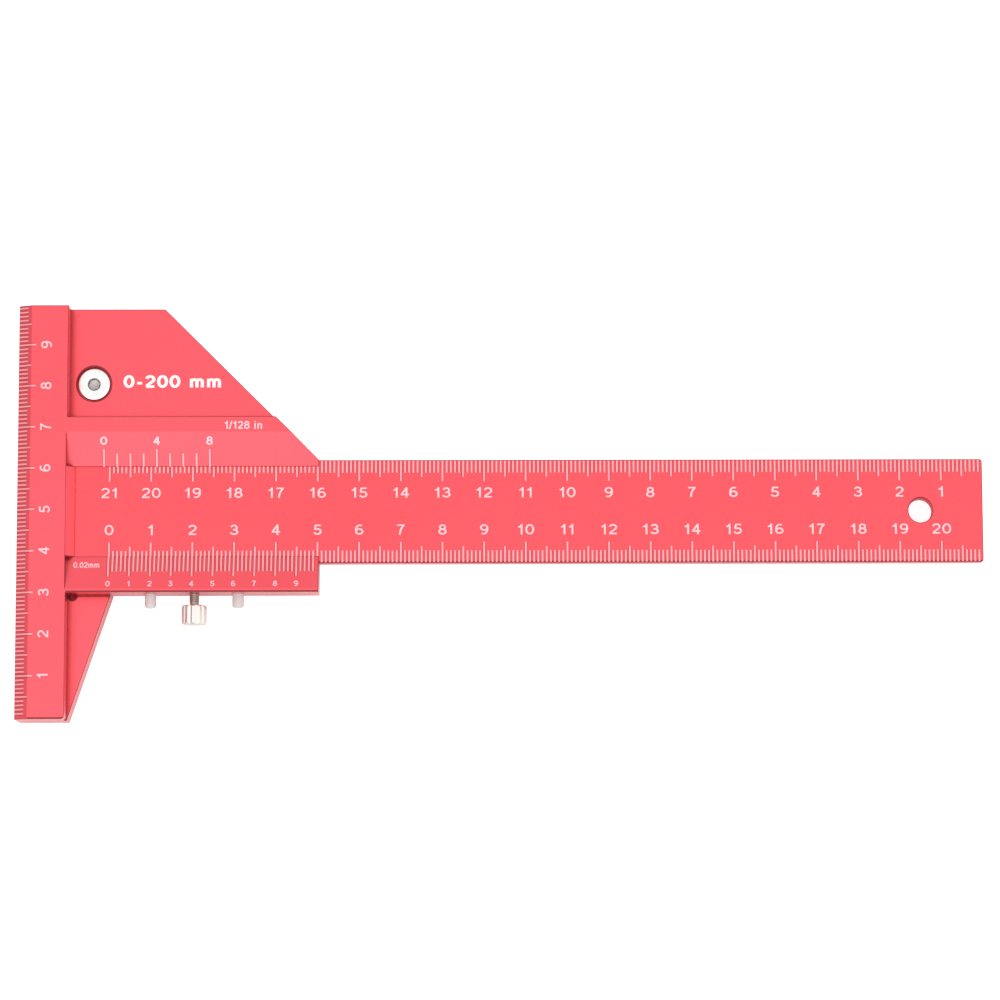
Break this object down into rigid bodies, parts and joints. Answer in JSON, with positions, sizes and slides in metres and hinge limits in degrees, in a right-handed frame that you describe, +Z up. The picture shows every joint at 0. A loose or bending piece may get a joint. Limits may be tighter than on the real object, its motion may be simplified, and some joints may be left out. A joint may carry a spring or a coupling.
{
  "type": "marking t-ruler",
  "caption": "T-shaped marking ruler: a graduated metal blade slides through a thick fence head with two verniers and locks with a thumb screw.",
  "frame": {"origin": "middle of the fence's underside", "axes": "+X along the blade away from the fence, +Y along the fence, +Z up from the table; the zero of both scales is at X = 16 mm"},
  "size_m": [0.232, 0.1, 0.012],
  "materials": {
    "head_red": "satin red anodised",
    "blade_red": "satin red anodised, white graduations",
    "nickel": "nickel plated",
    "pad_brass": "turned",
    "nylon": "natural, slightly translucent",
    "bright_steel": "bright plated"
  },
  "bodies": {
    "head": {"head_body": "head_red", "flat_head_screw": "bright_steel"},
    "blade": {"ruler_blade": "blade_red"},
    "lock_pad": {"lock_pad": "pad_brass"},
    "lock_screw": {"lock_screw": "nickel"},
    "tension_screw_left": {"tension_screw_left": "nylon"},
    "tension_screw_right": {"tension_screw_right": "nylon"}
  },
  "joints": [
    {"name": "blade_slide", "type": "slide", "parent": "head", "child": "blade", "axis": [-1, 0, 0], "range_m": [0, 0.185]},
    {"name": "lock_pad_slide", "type": "slide", "parent": "head", "child": "lock_pad", "axis": [0, -1, 0], "range_m": [0, 0.0009]},
    {"name": "lock_screw_turn", "type": "hinge", "parent": "lock_pad", "child": "lock_screw", "pos_m": [0.03645, -0.0141, 0.0079], "axis": [0, -1, 0], "range_deg": [0, 720]},
    {"name": "tension_left_turn", "type": "hinge", "parent": "head", "child": "tension_screw_left", "pos_m": [0.02595, -0.0141, 0.0079], "axis": [0, -1, 0], "range_deg": [-180, 180]},
    {"name": "tension_right_turn", "type": "hinge", "parent": "head", "child": "tension_screw_right", "pos_m": [0.04695, -0.0141, 0.0079], "axis": [0, -1, 0], "range_deg": [-180, 180]}
  ],
  "couplings": [
    {"joint": "lock_screw_turn", "follows": "lock_pad_slide", "rad_per_m": 13963}
  ]
}
